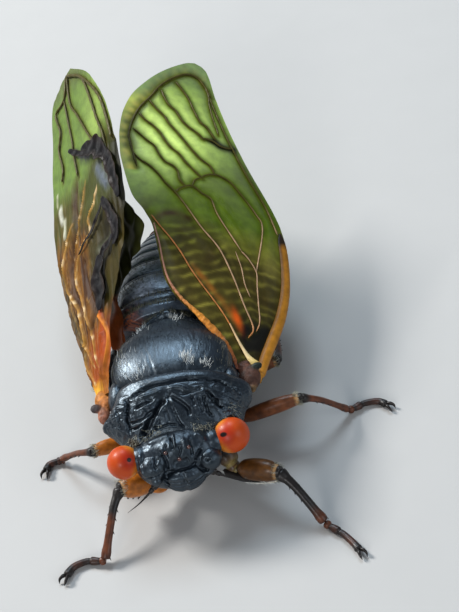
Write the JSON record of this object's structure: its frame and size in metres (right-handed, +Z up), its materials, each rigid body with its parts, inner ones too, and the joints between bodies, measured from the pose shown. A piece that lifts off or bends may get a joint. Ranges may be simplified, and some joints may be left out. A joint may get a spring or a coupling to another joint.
{
  "type": "periodical cicada",
  "caption": "Adult periodical cicada standing on its feet, one forewing whole and raised like a roof, the other shrivelled, as a still life-size model.",
  "frame": {"origin": "the middle of the model's footprint, on the floor that its six feet stand on", "axes": "-Y along the body towards the head, +X towards the insect's left side, +Z up"},
  "size_m": [0.027, 0.0411, 0.0162],
  "materials": {
    "black_cuticle": "satin black shell with a blue-grey sheen",
    "eye": "glossy orange-red",
    "wing_membrane": "clear olive-yellow membrane with orange and dark brown veins",
    "shrivelled_membrane": "wrinkled amber and dark brown membrane",
    "wing_hinge": "satin brown plates",
    "amber_leg": "satin orange-brown",
    "dark_leg": "satin dark red-brown to black"
  },
  "bodies": {
    "root": {"head": "black_cuticle", "antenna_l": "black_cuticle", "antenna_r": "black_cuticle", "rostrum": "black_cuticle", "pronotum": "black_cuticle", "mesonotum": "black_cuticle", "thorax": "black_cuticle", "abdomen": "black_cuticle", "abdomen_tip": "black_cuticle", "operculum_l": "black_cuticle", "operculum_r": "black_cuticle", "eye_l": "eye", "eye_r": "eye", "forewing_l": "wing_membrane", "hindwing_l": "wing_membrane", "forewing_r": "shrivelled_membrane", "hindwing_r": "shrivelled_membrane", "wing_base_l": "wing_hinge", "wing_base_r": "wing_hinge", "coxa_fore_l": "black_cuticle", "femur_fore_l": "amber_leg", "tibia_fore_l": "dark_leg", "tarsus_fore_l": "dark_leg", "coxa_fore_r": "black_cuticle", "femur_fore_r": "amber_leg", "tibia_fore_r": "dark_leg", "tarsus_fore_r": "dark_leg", "coxa_mid_l": "black_cuticle", "femur_mid_l": "amber_leg", "tibia_mid_l": "dark_leg", "tarsus_mid_l": "dark_leg", "coxa_mid_r": "black_cuticle", "femur_mid_r": "amber_leg", "tibia_mid_r": "dark_leg", "tarsus_mid_r": "dark_leg", "coxa_hind_l": "black_cuticle", "femur_hind_l": "amber_leg", "tibia_hind_l": "dark_leg", "tarsus_hind_l": "dark_leg", "coxa_hind_r": "black_cuticle", "femur_hind_r": "amber_leg", "tibia_hind_r": "dark_leg", "tarsus_hind_r": "dark_leg"}
  },
  "joints": []
}
